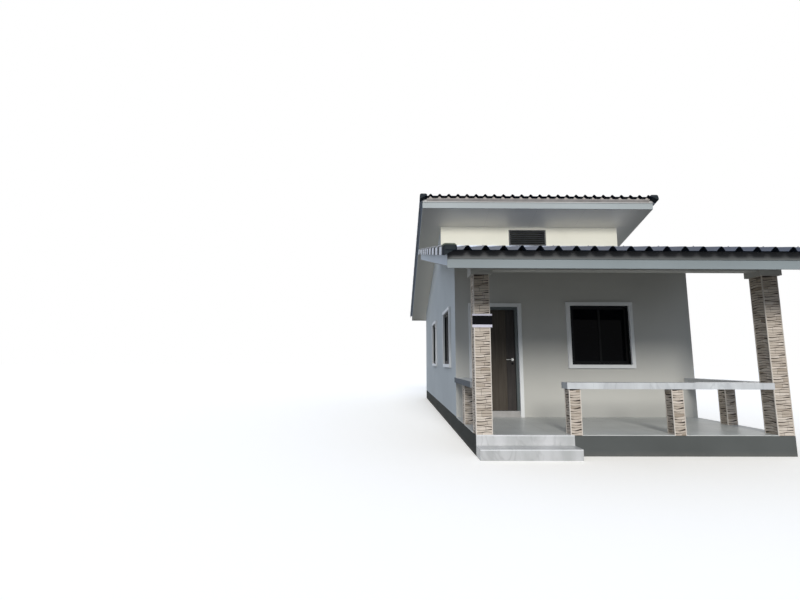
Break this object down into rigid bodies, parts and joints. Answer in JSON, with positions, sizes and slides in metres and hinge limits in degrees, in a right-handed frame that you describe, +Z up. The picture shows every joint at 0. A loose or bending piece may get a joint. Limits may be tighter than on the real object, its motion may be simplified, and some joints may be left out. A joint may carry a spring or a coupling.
{
  "type": "bungalow with an open front porch",
  "caption": "Small bungalow with a raised main roof, clerestory strip, open front porch with stone-faced columns and low rails, and a front door that opens.",
  "frame": {"origin": "middle of the whole outline, roofs included, at the ground under the base slab", "axes": "+Y from the porch front to the back of the house, +X to the right seen from the street, +Z up"},
  "size_m": [5.9, 13.102, 5.4826],
  "materials": {
    "dark_plinth": "matt dark grey paint on concrete",
    "porch_tile": "satin floor tile",
    "floor_screed": "satin floor tile inside",
    "marble_tile": "polished marble look tile",
    "painted_plaster": "matt painted render",
    "dark_aluminium": "dark powder coated aluminium",
    "beam_concrete": "matt dark painted concrete",
    "strip_stone": "split stone strip cladding",
    "white_render": "matt white painted render",
    "dark_wood": "satin dark stained timber",
    "satin_steel": "satin steel",
    "window_pane": "tinted glass",
    "soffit_board": "grey painted fibre cement boards, matt",
    "steel_frame": "galvanised steel sections",
    "trim_board": "pale grey painted fibre cement boards, matt",
    "roof_sheet": "dark charcoal painted fibre cement, satin",
    "flashing_sheet": "folded coated sheet",
    "plate_board": "bare white plate"
  },
  "bodies": {
    "house": {"base_slab": "dark_plinth", "porch_floor_tiles": "porch_tile", "inner_floor": "floor_screed", "door_step": "marble_tile", "entrance_steps": "marble_tile", "front_wall_left": "painted_plaster", "front_wall_over_door": "painted_plaster", "front_wall_right": "painted_plaster", "left_wall": "painted_plaster", "right_wall": "painted_plaster", "back_wall": "painted_plaster", "clerestory_wall": "painted_plaster", "clerestory_vent": "dark_aluminium", "porch_beam": "beam_concrete", "porch_side_beams": "beam_concrete", "column_left": "strip_stone", "column_right": "strip_stone", "porch_posts": "strip_stone", "front_rail": "marble_tile", "side_rails": "marble_tile", "door_trim": "white_render", "door_frame": "dark_wood", "frame_hinges": "satin_steel", "window_trims": "white_render", "window_frames": "dark_aluminium", "window_glass": "window_pane", "porch_soffit": "soffit_board", "porch_rafters": "steel_frame", "porch_battens": "steel_frame", "porch_fascia": "trim_board", "porch_verge_boards": "trim_board", "porch_roof_sheets": "roof_sheet", "porch_verge_caps": "roof_sheet", "porch_flashing": "flashing_sheet", "main_soffit": "soffit_board", "main_rafters": "steel_frame", "main_battens": "steel_frame", "main_fascias": "trim_board", "main_verge_boards": "trim_board", "main_roof_sheets": "roof_sheet", "main_verge_caps": "roof_sheet", "number_plate": "plate_board"},
    "door": {"door_leaf": "dark_wood", "door_handle": "satin_steel", "leaf_hinges": "satin_steel"}
  },
  "joints": [
    {"name": "front_door_hinge", "type": "hinge", "parent": "house", "child": "door", "pos_m": [-1.9645, -2.91761, 0.42], "axis": [0, 0, 1], "range_deg": [0, 90]}
  ]
}
